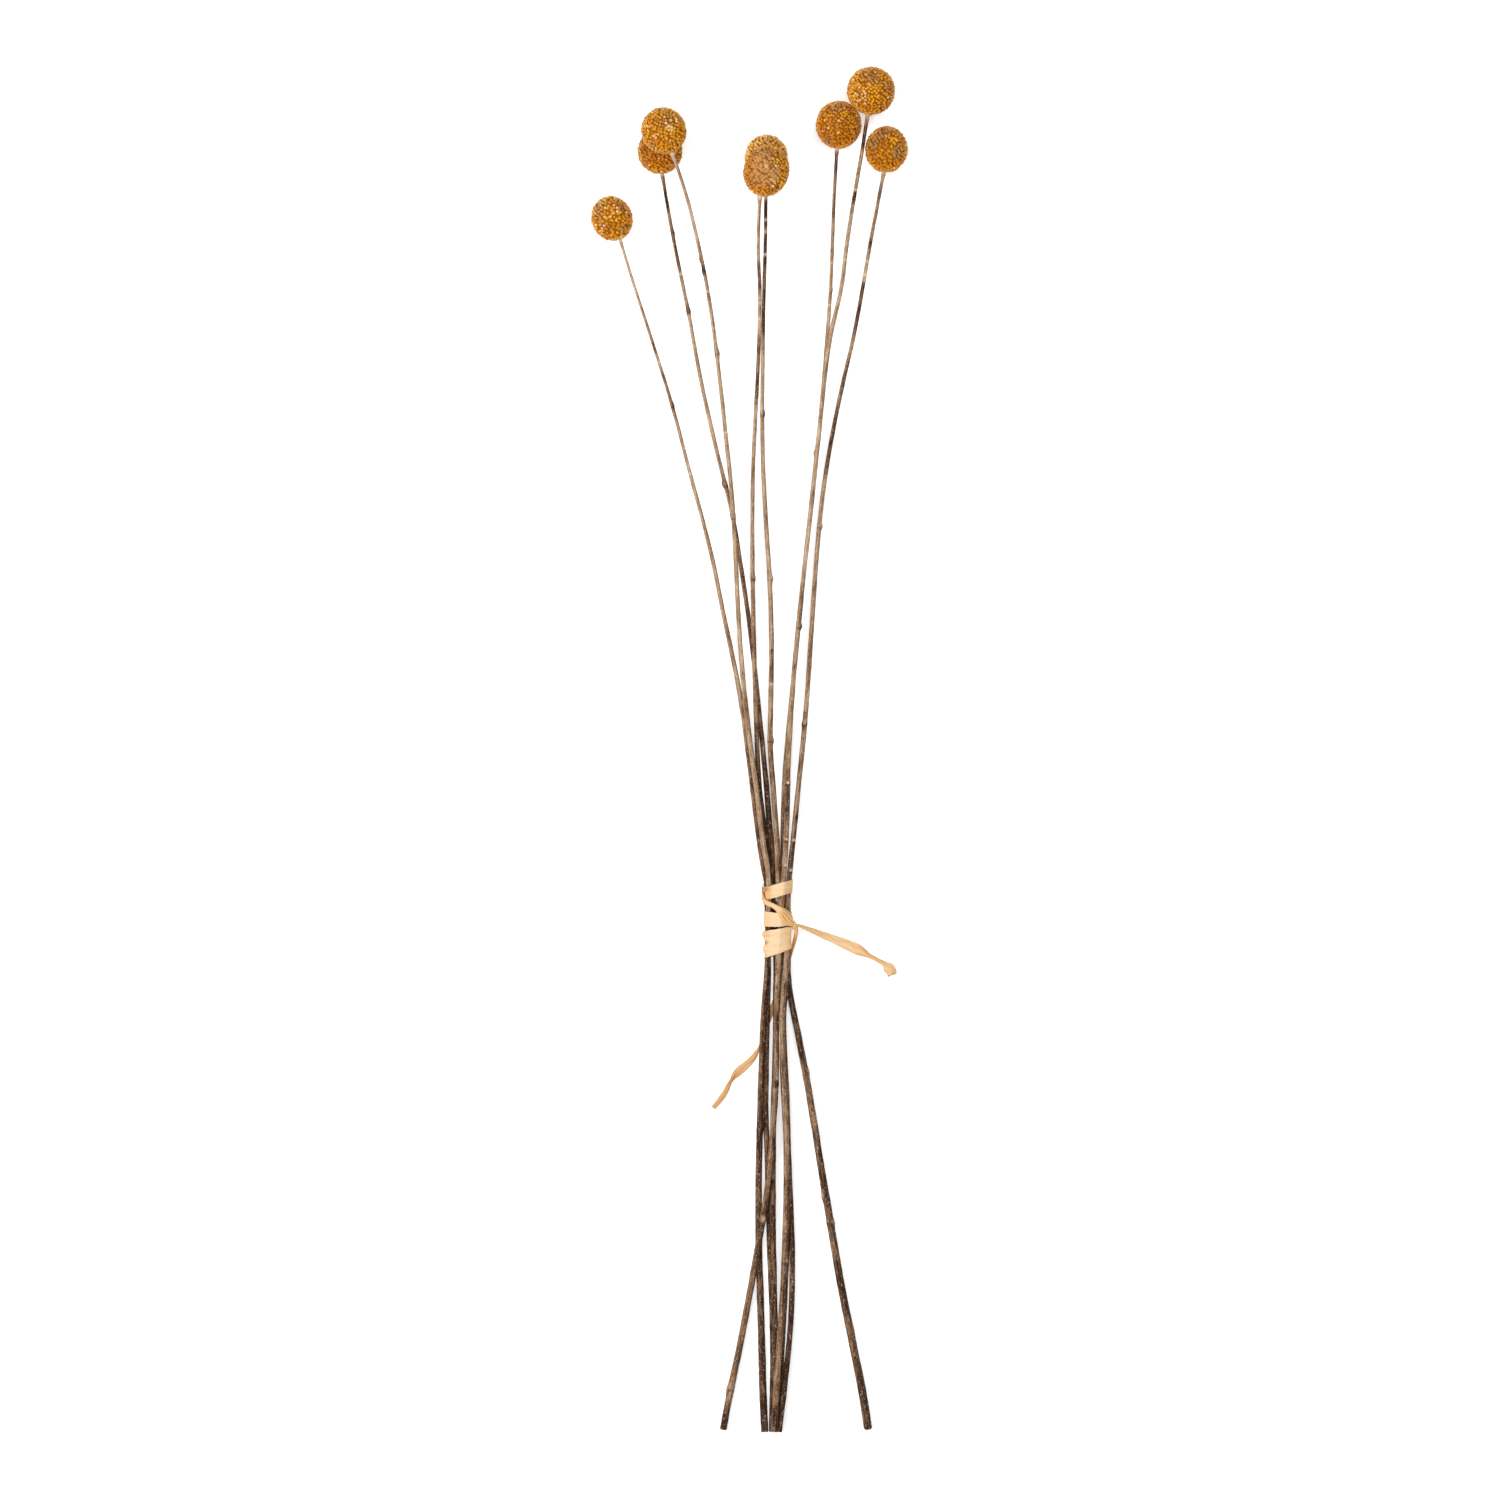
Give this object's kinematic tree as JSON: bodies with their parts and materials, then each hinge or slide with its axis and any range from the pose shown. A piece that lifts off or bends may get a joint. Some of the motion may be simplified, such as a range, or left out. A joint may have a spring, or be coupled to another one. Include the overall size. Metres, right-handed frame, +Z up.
{
  "type": "tied bunch of dried billy buttons",
  "caption": "Dried globe flower heads on long bare stems, bound into a slim bunch with a knotted strip of raffia and laid flat.",
  "frame": {"origin": "middle of the bunch's footprint, on the surface it lies on", "axes": "+Y along the bunch, from the cut ends to the flower heads; +X to the right as seen from above with the heads at the top; +Z up from the surface"},
  "size_m": [0.1386, 0.5994, 0.0371],
  "materials": {
    "florets": "dry, granular",
    "bark": "dry, lightly ridged",
    "raffia": "satin, fine lengthwise fibres"
  },
  "bodies": {
    "root": {"head_1": "florets", "stem_1": "bark", "head_2": "florets", "stem_2": "bark", "head_3": "florets", "stem_3": "bark", "head_4": "florets", "stem_4": "bark", "head_5": "florets", "stem_5": "bark", "head_6": "florets", "stem_6": "bark", "head_7": "florets", "stem_7": "bark", "head_8": "florets", "stem_8": "bark", "raffia_tie": "raffia", "raffia_tail_right": "raffia", "raffia_tail_left": "raffia"}
  },
  "joints": []
}
